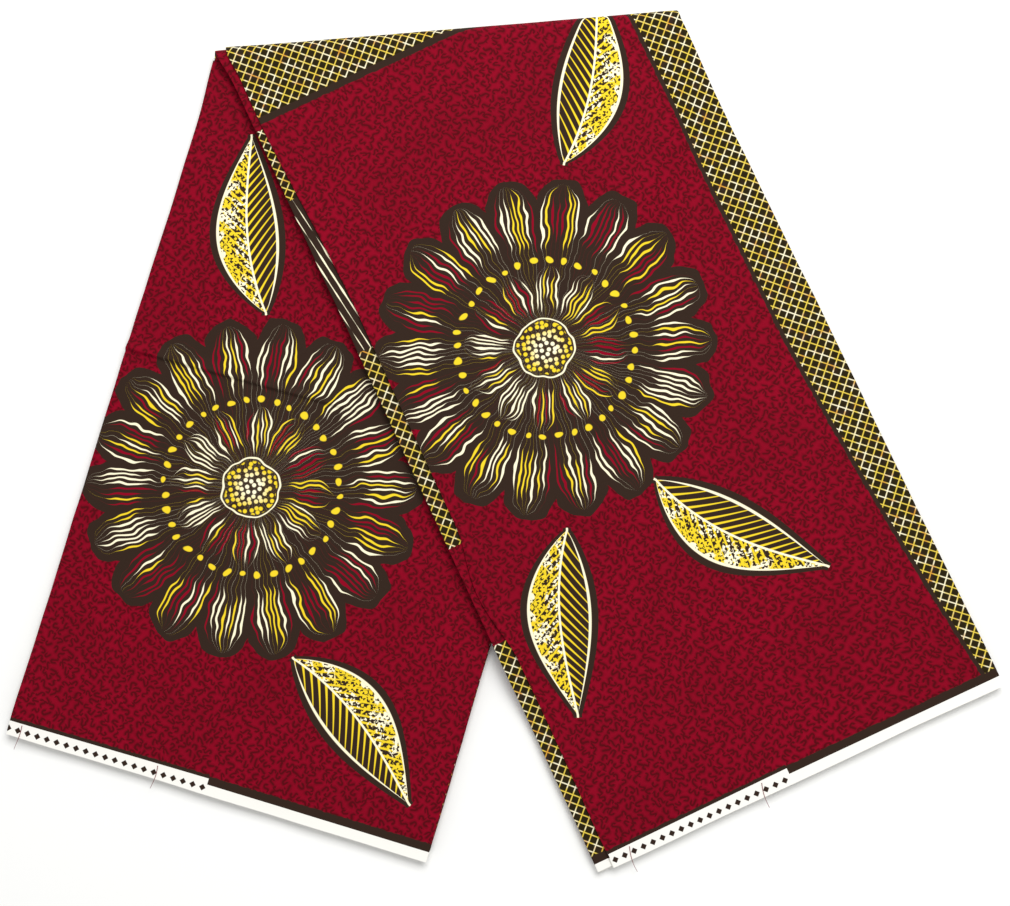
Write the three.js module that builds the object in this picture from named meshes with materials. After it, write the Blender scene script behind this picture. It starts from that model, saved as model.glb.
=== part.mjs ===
// A six yard length of wax print cotton, folded zig-zag into a strip and folded once across.
// The strip's long way is the cloth's width, so its two ends are the two selvedges.
// The back leg lies on the floor. The front leg comes round the cross fold, lies on the back
// leg and steps down to the floor beside it. Millimetres, +Z up, cross fold along X.
import * as THREE from 'three';
import { mergeVertices } from 'three/addons/utils/BufferGeometryUtils.js';

// Cloth and folding
const STRIP_WIDTH = 320;
const CLOTH_LENGTH = 5486;
const PRINTED_WIDTH = 1170;
const SELVEDGE = 9;
const LAYER_PITCH = 0.47;
const FRONT_PRINTED = 594;
const LEG_ANGLE = THREE.MathUtils.degToRad(20.7);

// Walls and gaps
const WALL = 1;
const SEAM = 0.3;
const FOLD_EYE = 0.2;

// Where the front leg leaves the back leg and comes down to the floor beside it
const STEP_START = 8;
const STEP_WIDTH = 40;

// Soft crease across the back leg, highest at its left edge
const CREASE = { fromHem: 286, height: 1.1, halfWidth: 9, fadesAt: 200 };

// Faceting
const BEND_STEPS = 10;
const DOWN_STEPS = 6;
const NOSE_STEPS = 4;

// Values that follow
const LAYERS = Math.round(CLOTH_LENGTH / STRIP_WIDTH);
const LEG_THICKNESS = LAYERS * LAYER_PITCH;
const INSIDE = LEG_THICKNESS - 3 * (WALL + SEAM);
const BACK_PRINTED = PRINTED_WIDTH - FRONT_PRINTED;
const FOLD_RADIUS = FOLD_EYE + LEG_THICKNESS;
const MID_RADIUS = FOLD_EYE + LEG_THICKNESS / 2;
const HALF_BEND = (Math.PI * MID_RADIUS) / 2;
const LAID_RISE = LEG_THICKNESS + 2 * FOLD_EYE;
const COS = Math.cos(LEG_ANGLE);
const SIN = Math.sin(LEG_ANGLE);

// The sheets, from the strip's outer face inwards: how deep each starts, its wall, how far it lies
// inside the strip's left outline at the fold and at the hem, and inside its right outline
const OUTER = { depth: 0, wall: WALL, leftFold: 10, leftHem: 12.5, right: 0 };
const SECOND = { depth: WALL + SEAM, wall: WALL, leftFold: 0, leftHem: 0, right: 1.2 };
const FRONT_INSIDE = { depth: 2 * (WALL + SEAM), wall: INSIDE, leftFold: 0.4, leftHem: 0.6, right: 0.6 };
const BACK_INSIDE = { ...FRONT_INSIDE, depth: WALL + SEAM, wall: INSIDE + WALL + SEAM };
const INNER = { depth: LEG_THICKNESS - WALL, wall: WALL, leftFold: 0, leftHem: 0, right: 0.4 };

// Folded edges down the side of each solid, from its inner face outwards: how far each lies in at
// the left and at the right, and how much shorter it is at the hem
const ONE_EDGE = [{ left: 0, right: 0, hem: 0 }];
const FRONT_EDGES = [
  { left: 0.6, right: 1.1, hem: 2.2 },
  { left: 1.9, right: 0.3, hem: 0.4 },
  { left: 0.2, right: 1.7, hem: 1.5 },
  { left: 1.3, right: 0.5, hem: 0 },
  { left: 0.8, right: 1.4, hem: 2.8 },
];
const BACK_EDGES = [
  { left: 1.2, right: 0.4, hem: 0.6 },
  { left: 0.3, right: 1.6, hem: 2.4 },
  { left: 1.7, right: 0.9, hem: 0 },
  { left: 0.5, right: 0.2, hem: 1.8 },
  { left: 1.4, right: 1.3, hem: 3 },
  { left: 0.9, right: 0.6, hem: 1 },
];

// Distances across the strip where a plain sheet and the creased one have points
const PLAIN_COLUMNS = [40, 160, 280];
const CREASED_COLUMNS = [25, 60, 95, 130, 165, 200, 280];

const RED = '#8c1024';
const DEEP_RED = '#6e0d1e';
const DARK_RED = '#4a1018';

// One row for each stretch of cloth. trim is how much shorter it is at its hem
const STRETCHES = [
  { name: 'front_top_layer', sheet: OUTER, edges: ONE_EDGE, trim: 0, color: RED },
  { name: 'front_second_layer', sheet: SECOND, edges: ONE_EDGE, trim: 1.6, color: RED },
  { name: 'front_hidden_layers', sheet: FRONT_INSIDE, edges: FRONT_EDGES, trim: 1, color: DARK_RED },
  { name: 'front_under_layer', sheet: INNER, edges: ONE_EDGE, trim: 2.4, color: DEEP_RED },
  { name: 'back_top_layer', sheet: INNER, edges: ONE_EDGE, trim: 0, color: RED, creased: true },
  { name: 'back_hidden_layers', sheet: BACK_INSIDE, edges: BACK_EDGES, trim: 1, color: DARK_RED },
  { name: 'back_under_layer', sheet: OUTER, edges: ONE_EDGE, trim: 2, color: DEEP_RED },
];

const { lerp, smoothstep, clamp } = THREE.MathUtils;
const falling = (x) => 1 - smoothstep(x, 0, 1);

// The strip's own directions: u across it from the left outline, along it from the middle of the
// cross fold, and out from its middle layer. This gives the place of such a point in the world,
// with rise the height of the leg's underside above the floor
function place(u, along, out, rise) {
  const du = u - STRIP_WIDTH / 2;
  const beside = du * COS + along * SIN;
  const past = along * COS - du * SIN;
  if (past >= HALF_BEND) {
    return [beside, HALF_BEND - past - FOLD_RADIUS, rise + LEG_THICKNESS / 2 + out];
  }
  if (past <= -HALF_BEND) {
    return [beside, HALF_BEND + past - FOLD_RADIUS, LEG_THICKNESS / 2 - out];
  }
  const turn = past / MID_RADIUS;
  const radius = MID_RADIUS + out;
  return [beside, radius * Math.cos(turn) - FOLD_RADIUS, FOLD_RADIUS + radius * Math.sin(turn)];
}

// A section is a straight line across the strip, between a place on its left outline and one on
// its right outline, both measured along the strip
const section = (left, right, rise) => ({ left, right, rise, lift: 0, hem: false });

// The section that lies parallel to the cross fold, past it by a distance
function parallelToFold(past, rise) {
  const alongAt = (u) => (past + (u - STRIP_WIDTH / 2) * SIN) / COS;
  return section(alongAt(0), alongAt(STRIP_WIDTH), rise);
}

// The front leg's section that lies beside the back leg's right edge, off it by a distance
function besideBackLeg(distance, rise) {
  const reach = STRIP_WIDTH / 2 + distance;
  const alongAt = (du) => (reach - du * Math.cos(2 * LEG_ANGLE)) / Math.sin(2 * LEG_ANGLE);
  return section(alongAt(-STRIP_WIDTH / 2), alongAt(STRIP_WIDTH / 2), rise);
}

const between = (a, b, share, rise) =>
  section(lerp(a.left, b.left, share), lerp(a.right, b.right, share), rise);

// Round the cross fold, flat on the back leg, down beside it and flat to the hem
function frontSections(trim) {
  const sections = [];
  for (let i = 0; i <= BEND_STEPS; i += 1) {
    const past = lerp(-HALF_BEND, HALF_BEND, i / BEND_STEPS);
    sections.push(parallelToFold(past, LAID_RISE));
  }
  const foldEnd = sections[sections.length - 1];
  const stepStart = besideBackLeg(STEP_START, LAID_RISE);
  [0.1, 0.3, 0.5, 0.75].forEach((share) => {
    sections.push(between(foldEnd, stepStart, share, LAID_RISE));
  });
  for (let i = 0; i <= DOWN_STEPS; i += 1) {
    const share = i / DOWN_STEPS;
    sections.push(besideBackLeg(STEP_START + STEP_WIDTH * share, LAID_RISE * falling(share)));
  }
  const landed = sections[sections.length - 1];
  const reach = FRONT_PRINTED + SELVEDGE - trim;
  const hem = { ...section(reach, reach, 0), hem: true };
  [0.25, 0.5, 0.75, 0.94].forEach((share) => sections.push(between(landed, hem, share, 0)));
  sections.push(hem);
  return sections;
}

// From the hem, over the crease, to the cross fold
function backSections(trim) {
  const reach = -(BACK_PRINTED + SELVEDGE - trim);
  const hem = { ...section(reach, reach, 0), hem: true };
  const fold = parallelToFold(-HALF_BEND - SEAM, 0);
  const middle = CREASE.fromHem - BACK_PRINTED;
  const creased = [-1, -0.6, -0.3, 0, 0.3, 0.6, 1].map((across) => {
    const along = middle + across * CREASE.halfWidth;
    return { ...section(along, along, 0), lift: CREASE.height * falling(Math.abs(across)) };
  });
  const laid = [0.06, 0.5].map((share) => between(hem, creased[0], share, 0));
  return [hem, ...laid, ...creased, fold];
}

// One folded edge: a half round from the low to the high face of a layer
function foldedEdge(low, high, side, edge) {
  const radius = (high - low) / 2;
  const lying = side === 'right' ? edge.right : edge.left;
  const points = [];
  for (let i = 0; i <= NOSE_STEPS; i += 1) {
    const turn = Math.PI * (i / NOSE_STEPS - 0.5);
    const inset = lying + radius * (1 - Math.cos(turn));
    points.push({ side, inset, out: low + radius * (1 + Math.sin(turn)), shorter: edge.hem });
  }
  return points;
}

// A stretch's outline across the strip: up its right edge, over, down its left edge and back
function outlineOf(sheet, edges, columns) {
  const high = LEG_THICKNESS / 2 - sheet.depth;
  const low = high - sheet.wall;
  const level = (i) => lerp(low, high, i / edges.length);
  const edgePoints = (side) =>
    edges.flatMap((edge, i) => foldedEdge(level(i), level(i + 1), side, edge));
  const face = (out) => columns.map((u) => ({ side: 'face', u, out, shorter: 0 }));
  return [
    ...edgePoints('right'),
    ...face(high).reverse(),
    ...edgePoints('left').reverse(),
    ...face(low),
  ];
}

// The wall of one stretch through its sections, closed at both ends
function stretchGeometry({ name, sheet, edges, trim, creased }) {
  const sections = name.startsWith('front') ? frontSections(trim) : backSections(trim);
  const outline = outlineOf(sheet, edges, creased ? CREASED_COLUMNS : PLAIN_COLUMNS);
  const hem = sections.find((row) => row.hem);
  const across = (point, row) => {
    if (point.side === 'face') return point.u;
    if (point.side === 'right') return STRIP_WIDTH - sheet.right - point.inset;
    const share = clamp(row.left / hem.left, 0, 1);
    return lerp(sheet.leftFold, sheet.leftHem, share) + point.inset;
  };
  const positions = sections.flatMap((row) => outline.flatMap((point) => {
    const u = across(point, row);
    const shorter = row.hem ? point.shorter * Math.sign(row.left) : 0;
    const lift = creased ? row.lift * falling(u / CREASE.fadesAt) : 0;
    const along = lerp(row.left, row.right, u / STRIP_WIDTH) - shorter;
    return place(u, along, point.out - lift, row.rise);
  }));
  const ring = outline.length;
  const index = [];
  for (let s = 0; s + 1 < sections.length; s += 1) {
    for (let k = 0; k < ring; k += 1) {
      const a = s * ring + k;
      const b = s * ring + ((k + 1) % ring);
      index.push(a, b, b + ring, a, b + ring, a + ring);
    }
  }
  const end = (sections.length - 1) * ring;
  const flat = outline.map((point) => new THREE.Vector2(across(point, sections[0]), point.out));
  THREE.ShapeUtils.triangulateShape(flat, []).forEach(([a, b, c]) => {
    index.push(a, c, b, end + a, end + b, end + c);
  });
  const geometry = new THREE.BufferGeometry();
  geometry.setAttribute('position', new THREE.Float32BufferAttribute(positions, 3));
  geometry.setIndex(index);
  return mergeVertices(geometry, 1e-4);
}

// Printed cotton, smooth from the calender and hardly glossy
const cotton = (color) => new THREE.MeshStandardMaterial({ color, roughness: 0.78, metalness: 0 });

const cloth = new THREE.Group();
STRETCHES.forEach((stretch) => {
  const mesh = new THREE.Mesh(stretchGeometry(stretch), cotton(stretch.color));
  mesh.name = stretch.name;
  cloth.add(mesh);
});

// The origin is at the middle of the underside
const box = new THREE.Box3().setFromObject(cloth);
const middle = box.getCenter(new THREE.Vector3());
cloth.children.forEach((mesh) => mesh.geometry.translate(-middle.x, -middle.y, -box.min.z));

export default cloth;
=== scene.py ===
# %% [markdown]
# # A folded length of wax print cotton
# The real object is one uncut length of printed cotton, about five and a half metres by 1.19 metres.
# It is folded zig-zag into a strip, and the strip is folded once across, a little askew, so that its
# two legs lie in a V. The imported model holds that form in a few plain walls. This lesson dresses it
# as cloth: thin layers with rounded folds, and a print that is drawn by shader nodes from real sizes.

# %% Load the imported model
import functools
import math

import bmesh
import bpy
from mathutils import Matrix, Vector, noise


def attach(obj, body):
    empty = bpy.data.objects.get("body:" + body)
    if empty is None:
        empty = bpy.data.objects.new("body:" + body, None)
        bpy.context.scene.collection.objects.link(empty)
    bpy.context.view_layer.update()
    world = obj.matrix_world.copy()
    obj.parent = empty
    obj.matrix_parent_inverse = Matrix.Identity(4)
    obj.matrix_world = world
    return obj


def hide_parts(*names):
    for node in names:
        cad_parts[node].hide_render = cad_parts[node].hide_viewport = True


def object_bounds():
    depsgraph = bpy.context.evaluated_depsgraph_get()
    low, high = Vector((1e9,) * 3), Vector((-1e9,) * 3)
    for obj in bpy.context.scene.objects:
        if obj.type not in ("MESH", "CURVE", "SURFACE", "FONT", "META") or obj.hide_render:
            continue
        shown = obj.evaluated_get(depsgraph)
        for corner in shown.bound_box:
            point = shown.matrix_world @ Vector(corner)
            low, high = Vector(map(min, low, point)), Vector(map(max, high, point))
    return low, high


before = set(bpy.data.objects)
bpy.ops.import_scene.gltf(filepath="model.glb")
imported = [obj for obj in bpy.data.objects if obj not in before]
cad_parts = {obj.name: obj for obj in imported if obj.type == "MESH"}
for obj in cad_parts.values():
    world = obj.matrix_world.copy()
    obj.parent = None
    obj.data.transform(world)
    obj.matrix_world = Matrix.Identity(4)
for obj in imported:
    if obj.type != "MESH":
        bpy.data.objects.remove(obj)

cad_low, cad_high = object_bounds()
print("packed model, millimetres:", [round(1000 * side, 1) for side in cad_high - cad_low])

# %% [markdown]
# ## Sizes
# Cloth is easiest to think of in its own two directions, so every size below is one that a shop
# would measure: the width of the folded strip, the printed width between the selvedges, the thickness
# of the stack. Everything is in metres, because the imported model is. The angle is half of the V.

# %% Sizes of the folded strip
STRIP_WIDTH = 0.320
FRONT_PRINTED = 0.594
BACK_PRINTED = 0.576
SELVEDGE = 0.009
LEG_ANGLE = math.radians(20.7)
LEG_THICKNESS = 0.00799
LAYERS = 17
FOLD_EYE = 0.0002
STEP_START = 0.008
STEP_WIDTH = 0.040
CREASE_FROM_HEM = 0.286

FRONT_REACH = FRONT_PRINTED + SELVEDGE
BACK_REACH = BACK_PRINTED + SELVEDGE
FOLD_RADIUS = FOLD_EYE + LEG_THICKNESS
MID_RADIUS = FOLD_EYE + LEG_THICKNESS / 2
HALF_BEND = math.pi * MID_RADIUS / 2
LAID_RISE = LEG_THICKNESS + 2 * FOLD_EYE
COS = math.cos(LEG_ANGLE)
SIN = math.sin(LEG_ANGLE)
COS_V = math.cos(2 * LEG_ANGLE)
SIN_V = math.sin(2 * LEG_ANGLE)
FOLD_X = -(FRONT_REACH - BACK_REACH) / 2 * SIN
FOLD_Y = cad_high.y
print("whole cut, metres:", round(LAYERS * STRIP_WIDTH, 2), "by", round(FRONT_REACH + BACK_REACH, 3))

# %% [markdown]
# ## From the flat strip to the folded one
# A point of the strip has three numbers: how far it is across from the left edge, how far along from
# the middle of the cross fold, and how far out from the middle of the stack. One function turns them
# into a place in the room. Past the fold on one side lies the front leg, past it on the other side
# the back leg, and between them the stack goes round a half circle. Working in the strip's own
# directions keeps the print, the folds and the creases straight while they are being designed.

# %% Place a point of the strip in the room


def falling(share):
    """One at 0 and zero at 1, with a soft start and end."""
    share = min(max(share, 0.0), 1.0)
    return 1 - share * share * (3 - 2 * share)


def beside_back_leg(u, along):
    """How far a point of the front leg lies to the right of the back leg's right edge."""
    return along * SIN_V + (u - STRIP_WIDTH / 2) * COS_V - STRIP_WIDTH / 2


def beside_front_leg(u, along):
    """How far a point of the back leg lies to the left of the front leg's left edge."""
    return -along * SIN_V - (u - STRIP_WIDTH / 2) * COS_V - STRIP_WIDTH / 2


def place(u, along, out):
    """The point of the room for a point of the strip."""
    du = u - STRIP_WIDTH / 2
    x = FOLD_X + du * COS + along * SIN
    past = along * COS - du * SIN
    if past >= HALF_BEND:
        rise = LAID_RISE * falling((beside_back_leg(u, along) - STEP_START) / STEP_WIDTH)
        return Vector((x, FOLD_Y + HALF_BEND - past - FOLD_RADIUS, rise + LEG_THICKNESS / 2 + out))
    if past <= -HALF_BEND:
        return Vector((x, FOLD_Y + HALF_BEND + past - FOLD_RADIUS, LEG_THICKNESS / 2 - out))
    turn = past / MID_RADIUS
    radius = MID_RADIUS + out
    y = FOLD_Y - FOLD_RADIUS + radius * math.cos(turn)
    return Vector((x, y, FOLD_RADIUS + radius * math.sin(turn)))


corner = place(STRIP_WIDTH, 0.06, LEG_THICKNESS / 2)
print("front corner of the fold:", [round(1000 * side, 1) for side in corner])

# %% [markdown]
# ## Camera, floor and light
# Cloth for sale is photographed from almost straight above, on white, in light from large soft boxes.
# The camera stands 1.2 metres over the cloth, tipped a few degrees. The floor is a large pale sheet,
# and the light comes from one big panel up and to the right, with a bright sky to fill the shadows.
# A panel of this size gives soft shadows along the folds, where a small lamp would draw hard lines.

# %% Camera
CAMERA_PLACE = (0.0446, -0.0966, 1.1682)
CAMERA_TURN = (4.33, 1.705, -4.235)
CAMERA_ANGLE = 35
camera = bpy.data.objects.new("camera", bpy.data.cameras.new("camera"))
bpy.context.scene.collection.objects.link(camera)
camera.location = CAMERA_PLACE
camera.rotation_euler = [math.radians(angle) for angle in CAMERA_TURN]
camera.data.angle = math.radians(CAMERA_ANGLE)
bpy.context.scene.camera = camera
bpy.context.scene.view_settings.view_transform = "Standard"
print("camera lens, millimetres:", round(camera.data.lens, 1))

# %% Floor and lights
FLOOR_SIDE = 6.0
FLOOR_LEVEL = -0.0002
PANEL_PLACE = Vector((0.5, 1.1, 1.9))
PANEL_SIDES = (1.6, 1.2)
PANEL_WATTS = 45
SKY_STRENGTH = 0.6
floor_mesh = bpy.data.meshes.new("floor")
shape = bmesh.new()
bmesh.ops.create_grid(shape, x_segments=1, y_segments=1, size=FLOOR_SIDE / 2)
bmesh.ops.translate(shape, verts=shape.verts, vec=(0.0, 0.0, FLOOR_LEVEL))
shape.to_mesh(floor_mesh)
shape.free()
floor = bpy.data.objects.new("floor", floor_mesh)
bpy.context.scene.collection.objects.link(floor)

panel = bpy.data.lights.new("soft panel", "AREA")
panel.shape = "RECTANGLE"
panel.size, panel.size_y = PANEL_SIDES
panel.energy = PANEL_WATTS
panel_object = bpy.data.objects.new("soft panel", panel)
bpy.context.scene.collection.objects.link(panel_object)
panel_object.location = PANEL_PLACE
panel_object.rotation_euler = PANEL_PLACE.to_track_quat("Z", "Y").to_euler()

world = bpy.data.worlds.new("white studio")
bpy.context.scene.world = world
world.use_nodes = True
sky = world.node_tree.nodes["Background"].inputs
sky["Color"].default_value = (1, 1, 1, 1)
sky["Strength"].default_value = SKY_STRENGTH
print("light panel, watts:", panel.energy)

# %% [markdown]
# ## Small helpers for materials
# A print is a stack of simple drawings, and each drawing is a chain of small sums. One function adds
# a node with its settings and its inputs and hands back the socket that comes out, so that a chain
# reads from top to bottom. Short ones use it for what comes again and again: a sum, a mix of two
# colours, a soft step, a stretch of a line, noise. Another turns a colour as a screen shows it into
# the linear one that the renderer works with.

# %% Node and colour helpers


def linear(colour):
    """A hex colour as the renderer's linear red, green, blue and alpha."""
    parts = [int(colour[i:i + 2], 16) / 255 for i in (1, 3, 5)]
    return (*(v / 12.92 if v <= 0.04045 else ((v + 0.055) / 1.055) ** 2.4 for v in parts), 1.0)


def add(tree, kind, inputs, out=0, **settings):
    """Adds a node and returns one of its outputs. inputs is a list, or a dict by name or number, of
    sockets to link and plain values."""
    made = tree.nodes.new("ShaderNode" + kind)
    for name, value in settings.items():
        setattr(made, name, value)
    for key, value in inputs.items() if isinstance(inputs, dict) else enumerate(inputs):
        if isinstance(value, bpy.types.NodeSocket):
            tree.links.new(value, made.inputs[key])
        elif value is not None:
            made.inputs[key].default_value = value
    return made.outputs[out] if made.outputs else None


def calc(tree, operation, *values):
    """A sum of sockets and plain values."""
    return add(tree, "Math", values, operation=operation)


def mix(tree, share, first, second):
    """The first colour where the share is 0, and the second where it is 1."""
    return add(tree, "Mix", {0: share, 6: first, 7: second}, 2, data_type="RGBA")


def soft_step(tree, value, low, high):
    """Zero where the value is at low, one where it is at high, and even between them."""
    return add(tree, "MapRange", {"Value": value, "From Min": low, "From Max": high})


def between(tree, value, low, high):
    """One where the value lies between low and high, and zero elsewhere."""
    return calc(tree, "COMPARE", value, (low + high) / 2, (high - low) / 2)


def off_middle(tree, value):
    """How far a value lies from the middle between two whole numbers, from -0.5 to 0.5."""
    return calc(tree, "ADD", calc(tree, "FRACT", value), -0.5)


def flat_noise(tree, spot, scale, detail, out="Fac"):
    """Noise over the cloth, as a value or, with Color for out, as three."""
    inputs = {"Vector": spot, "Scale": scale, "Detail": detail}
    return add(tree, "TexNoise", inputs, out, noise_dimensions="2D")


def wobble(tree, spot, scale, detail, reach):
    """The place moved about by noise, for a hand-cut line."""
    shift = flat_noise(tree, spot, scale, detail, "Color")
    shift = add(tree, "VectorMath", [shift, (0.5, 0.5, 0.5)], operation="SUBTRACT")
    shift = add(tree, "VectorMath", {0: shift, "Scale": reach}, operation="SCALE")
    return add(tree, "VectorMath", [spot, shift], operation="ADD")


def start_group(name, outputs):
    """A node group with a place as its input and float or colour outputs. Returns it and the place."""
    tree = bpy.data.node_groups.new(name, "ShaderNodeTree")
    tree.interface.new_socket("Place", in_out="INPUT", socket_type="NodeSocketVector")
    for title, kind in outputs.items():
        tree.interface.new_socket(title, in_out="OUTPUT", socket_type="NodeSocket" + kind)
    return tree, tree.nodes.new("NodeGroupInput").outputs[0]


def end_group(tree, results):
    """Links the group's results to its output."""
    end = tree.nodes.new("NodeGroupOutput")
    for title, socket in results.items():
        tree.links.new(socket, end.inputs[title])
    print(f"drew {tree.name} with {len(tree.nodes)} nodes")


# Vat dyed cotton: the red is the cloth's ground, and resin keeps lines free of it for the others
RED = linear("#88001e")
DEEP_RED = linear("#670013")
MAROON = linear("#4a040b")
BROWN = linear("#30221a")
OLIVE_BROWN = linear("#251d08")
CREAM = linear("#fbf3d0")
YELLOW = linear("#ecce2a")
PALE_YELLOW = linear("#e6cb4e")
ORANGE = linear("#d79a38")
BARE_COTTON = linear("#f3f1ea")

# %% [markdown]
# ## The hooked ground
# The red ground is filled with small dark hooks, each about 5 mm long, no two turned alike. On the
# real cloth they are one repeat of the printing roller. Here a Voronoi texture deals out one cell for
# each hook, with its own random numbers. In its cell a hook is an arc, a straight leg below one end
# of it, and on most of them a second arc that curls back at the foot. The random numbers turn it,
# flip it, stretch it and take the second arc away, and a little noise gives the hand-cut line.

# %% Hooked ground
HOOK_CELL = 5.8
GRID_TURN = 0.5
GRID_STRAY = 0.45
# Scale and detail of the noise, and how far it moves the line
HOOK_WOBBLE = (0.13, 0.0, 2.6)
HOOK_RADIUS = 1.26
FOOT_RADIUS = 0.85
LEG_TOP = 0.9
LEG_END = -1.52
HOOK_SHIFT = 0.65
HOOK_STRETCH = (0.85, 1.2)
UNCURLED = 0.45
ARC_SLOPE = 1.2
HOOK_LINE = 0.56
HOOK_EDGE = (HOOK_LINE + 0.35, HOOK_LINE - 0.3)
HALO_EDGE = (HOOK_LINE + 1.7, HOOK_LINE)
hooks, spot = start_group("hooked ground", {"Hook": "Float", "Halo": "Float"})
askew = add(hooks, "VectorRotate", {"Vector": spot, "Angle": GRID_TURN}, rotation_type="Z_AXIS")
shaken = wobble(hooks, askew, *HOOK_WOBBLE)
cell = {"Vector": shaken, "Scale": 1 / HOOK_CELL, "Randomness": GRID_STRAY}
cell = add(hooks, "TexVoronoi", cell, voronoi_dimensions="2D").node.outputs
dice = add(hooks, "SeparateColor", [cell["Color"]]).node.outputs
local = add(hooks, "VectorMath", [shaken, cell["Position"]], operation="SUBTRACT")
angle = calc(hooks, "MULTIPLY", dice[0], 2 * math.pi)
local = add(hooks, "VectorRotate", {"Vector": local, "Angle": angle}, rotation_type="Z_AXIS")
flip = calc(hooks, "SIGN", calc(hooks, "ADD", dice[1], -0.5))
stretch = {"Value": dice[2], "To Min": HOOK_STRETCH[0], "To Max": HOOK_STRETCH[1]}
flipping = add(hooks, "CombineXYZ", [flip, add(hooks, "MapRange", stretch), 0.0])
local = add(hooks, "VectorMath", [local, flipping], operation="MULTIPLY")
local = add(hooks, "VectorMath", [local, (HOOK_SHIFT, 0.0, 0.0)], operation="ADD")
axes = add(hooks, "SeparateXYZ", [local]).node.outputs
arc = add(hooks, "VectorMath", [local, (0.0, LEG_TOP, 0.0)], "Value", operation="DISTANCE")
arc = calc(hooks, "ADD", arc, -HOOK_RADIUS)
leg = calc(hooks, "ADD", axes[0], -HOOK_RADIUS)
curl = (HOOK_RADIUS + FOOT_RADIUS, LEG_END, 0.0)
curl = add(hooks, "VectorMath", [local, curl], "Value", operation="DISTANCE")
curl = calc(hooks, "ADD", curl, -FOOT_RADIUS)
end = add(hooks, "VectorMath", [local, (HOOK_RADIUS, LEG_END, 0.0)], "Value", operation="DISTANCE")
curled = calc(hooks, "GREATER_THAN", dice[2], UNCURLED)
foot = add(hooks, "Mix", {0: curled, 2: end, 3: curl})
on_leg = calc(hooks, "GREATER_THAN", axes[1], LEG_END)
behind = calc(hooks, "MINIMUM", axes[0], 0.0)
arc_from = calc(hooks, "MULTIPLY_ADD", behind, ARC_SLOPE, LEG_TOP)
on_arc = calc(hooks, "GREATER_THAN", axes[1], arc_from)
off = add(hooks, "Mix", {0: on_leg, 2: foot, 3: leg})
off = add(hooks, "Mix", {0: on_arc, 2: off, 3: arc})
off = calc(hooks, "ABSOLUTE", off)
end_group(hooks, {"Hook": soft_step(hooks, off, *HOOK_EDGE), "Halo": soft_step(hooks, off, *HALO_EDGE)})

# %% [markdown]
# ## The net
# The borders carry a net of thin pale lines at 45 degrees on dark brown, 5.5 mm from line to line.
# A ping-pong sum gives the distance to the nearest line of each family, and the smaller of the two
# draws both. The yellow dye takes unevenly on the real cloth, so slow noise moves the lines between
# cream, yellow and a warm orange.

# %% Net
NET_PITCH = 5.5
NET_LINE = 0.37
NET_SOFT = 0.25
NET_PATCHES = (0.13, 1.0)
NET_YELLOW = (0.36, 0.54)
NET_ORANGE = (0.58, 0.78)
net, spot = start_group("net", {"Color": "Color"})
turned = add(net, "VectorRotate", {"Vector": spot, "Angle": math.pi / 4}, rotation_type="Z_AXIS")
families = add(net, "SeparateXYZ", [turned]).node.outputs
near = [calc(net, "PINGPONG", families[k], NET_PITCH / 2) for k in (0, 1)]
near = calc(net, "MINIMUM", *near)
line = soft_step(net, near, NET_LINE + NET_SOFT, NET_LINE - NET_SOFT)
patch = flat_noise(net, turned, *NET_PATCHES, "Color")
patch = add(net, "SeparateColor", [patch]).node.outputs
yellow = soft_step(net, patch[0], *NET_YELLOW)
orange = soft_step(net, patch[1], *NET_ORANGE)
thread = mix(net, yellow, CREAM, PALE_YELLOW)
thread = mix(net, orange, thread, ORANGE)
base = mix(net, orange, OLIVE_BROWN, BROWN)
end_group(net, {"Color": mix(net, line, base, thread)})

# %% [markdown]
# ## A round flower
# Wax prints carry one large motif in each repeat. This one is a plain round flower: a seed head, a
# ring of short petals, a ring of dots and a ring of long petals, on dark brown. Every petal is filled
# with fine pale lines that run from its base to its tip. All of it is drawn in polar coordinates,
# because a petal is the same wedge of the circle again and again: the turn round the middle, times
# the number of petals, has a fraction that runs across one petal and a whole part that counts them.

# %% Petal ring
PETAL_HALF = 0.47
TIP_ROUNDNESS = 3.2
STROKE_STARTS_BY = 0.34
STROKE_ENDS_EARLY = 0.3
STROKE_SWELLS = 0.16
STROKE_THINS = 0.22
STROKE_HALF = 0.19
STROKE_SOFT = 0.03
YELLOW_FROM = 0.42
RED_FROM = 0.74


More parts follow.
